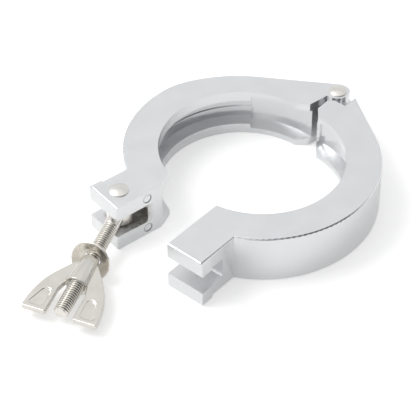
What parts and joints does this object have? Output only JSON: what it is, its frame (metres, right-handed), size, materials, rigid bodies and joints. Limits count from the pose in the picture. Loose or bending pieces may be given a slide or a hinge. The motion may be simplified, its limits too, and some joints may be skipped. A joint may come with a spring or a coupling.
{
  "type": "hinged flange clamp",
  "caption": "Hinged two-half clamp for DN 50 small-flange vacuum joints, partly open, with a swing bolt, cup washer and wing nut.",
  "frame": {"origin": "centre of the flange seat of the bolt half, at mid-height; the clamp lies on its bottom face at z = -10.75 mm", "axes": "+Z along the pipe, +X towards the hinge, +Y towards the back of the bolt half"},
  "size_m": [0.1679, 0.1042, 0.0229],
  "materials": {
    "cast_aluminium": "satin",
    "rivet_steel": "satin",
    "bolt_steel": "satin",
    "nut_steel": "satin"
  },
  "bodies": {
    "clamp_body": {"bolt_half": "cast_aluminium", "hinge_rivet": "rivet_steel", "bolt_rivet": "rivet_steel"},
    "jaw": {"jaw_half": "cast_aluminium"},
    "bolt": {"swing_bolt": "bolt_steel"},
    "washer": {"cup_washer": "bolt_steel"},
    "nut": {"wing_nut": "nut_steel"}
  },
  "joints": [
    {"name": "jaw_hinge", "type": "hinge", "parent": "clamp_body", "child": "jaw", "pos_m": [0.0518, 0.0019, 0], "axis": [0, 0, 1], "range_deg": [-13.2, 80]},
    {"name": "bolt_swing", "type": "hinge", "parent": "clamp_body", "child": "bolt", "pos_m": [-0.054, 0.0092, 0], "axis": [0, 0, 1], "range_deg": [-120, 22]},
    {"name": "washer_slide", "type": "slide", "parent": "bolt", "child": "washer", "axis": [-0.8684, -0.4854, -0.1011], "range_m": [-0.0025, 0.0121]},
    {"name": "nut_spin", "type": "hinge", "parent": "washer", "child": "nut", "pos_m": [-0.054, 0.0092, 0], "axis": [-0.8684, -0.4854, -0.1011], "range_deg": [-864, 4320]}
  ],
  "couplings": [
    {"joint": "washer_slide", "follows": "nut_spin", "m_per_rad": 0.00015915}
  ]
}
